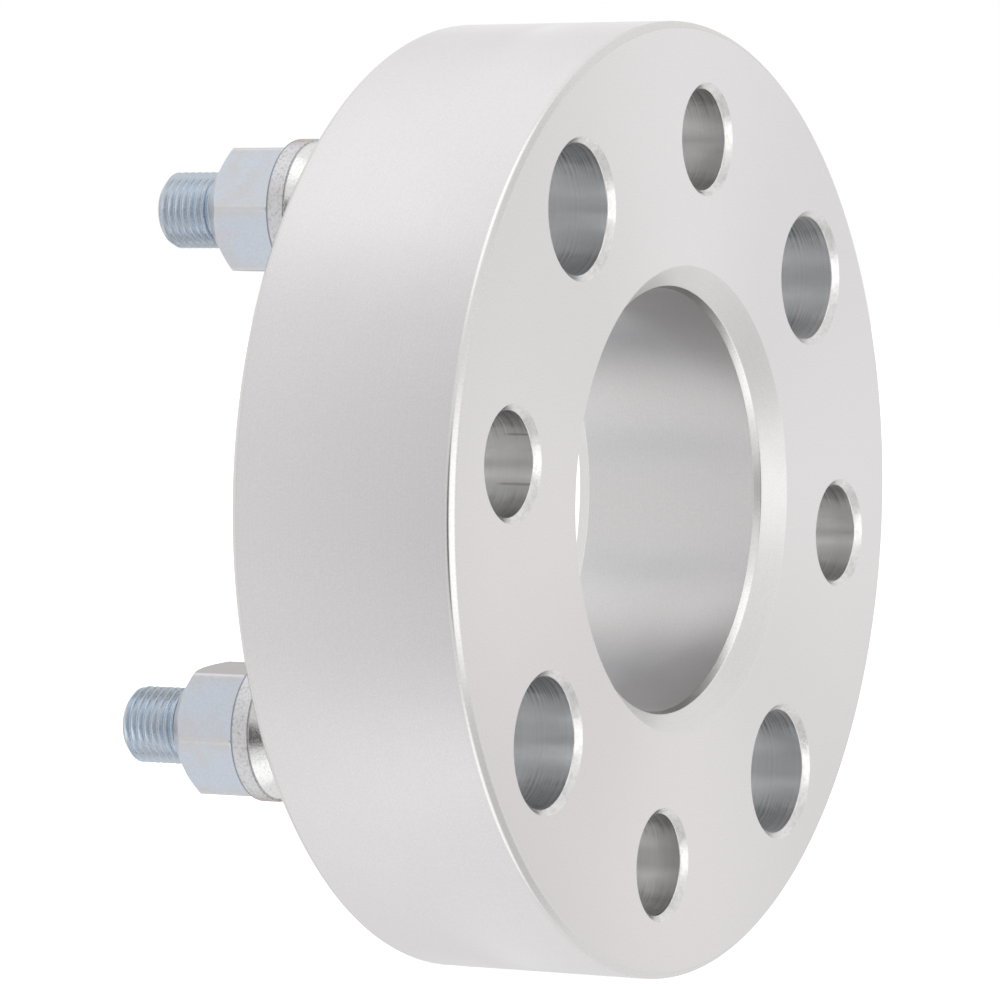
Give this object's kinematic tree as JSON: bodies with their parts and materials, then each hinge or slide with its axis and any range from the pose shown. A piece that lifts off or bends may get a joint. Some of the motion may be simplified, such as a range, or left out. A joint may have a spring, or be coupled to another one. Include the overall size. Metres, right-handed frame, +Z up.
{
  "type": "wheel spacer",
  "caption": "Thick turned aluminium wheel spacer that bolts to a hub and carries pressed-in wheel studs with lug nuts.",
  "frame": {"origin": "centre of the bore on the hub-side face", "axes": "+Y outboard along the bore, toward the wheel, with the studs pointing along it; +Z up; the holes are clocked as in the picture, the first hub hole 7.7 degrees below +X"},
  "size_m": [0.15, 0.0724, 0.15],
  "materials": {
    "machined_aluminium": "fine turned, with coarser drilled holes",
    "stud_steel": "clear zinc plate over rolled thread",
    "nut_steel": "bright zinc plate, slightly blue"
  },
  "bodies": {
    "root": {"spacer_body": "machined_aluminium", "wheel_stud_1": "stud_steel", "wheel_stud_2": "stud_steel", "wheel_stud_3": "stud_steel", "wheel_stud_4": "stud_steel", "lug_nut_1": "nut_steel", "lug_nut_2": "nut_steel", "lug_nut_3": "nut_steel", "lug_nut_4": "nut_steel"}
  },
  "joints": []
}
